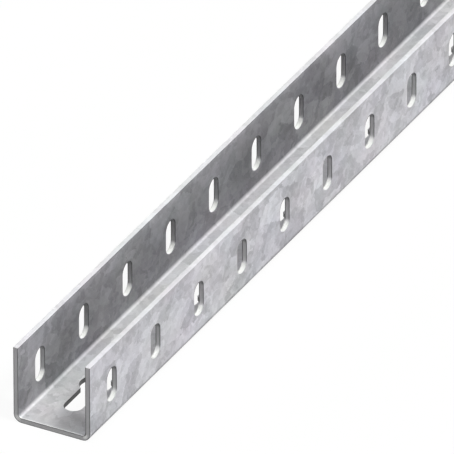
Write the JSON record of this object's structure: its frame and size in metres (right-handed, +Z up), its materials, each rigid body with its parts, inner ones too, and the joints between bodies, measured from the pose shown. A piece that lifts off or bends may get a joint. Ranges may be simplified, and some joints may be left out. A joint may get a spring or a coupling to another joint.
{
  "type": "u-channel",
  "caption": "Galvanised steel U channel with upright slots along both flanges and keyholes along its base, for framing, brackets and rails.",
  "frame": {"origin": "centre of the underside: midway along the length and across the width, on the base's lower face", "axes": "+X along the length, away from the pictured near end; +Y across, towards the left flange as seen along +X; +Z up, out of the open side"},
  "size_m": [1, 0.0474, 0.0475],
  "materials": {
    "galvanised_steel": "satin"
  },
  "bodies": {
    "root": {"u_channel": "galvanised_steel"}
  },
  "joints": []
}
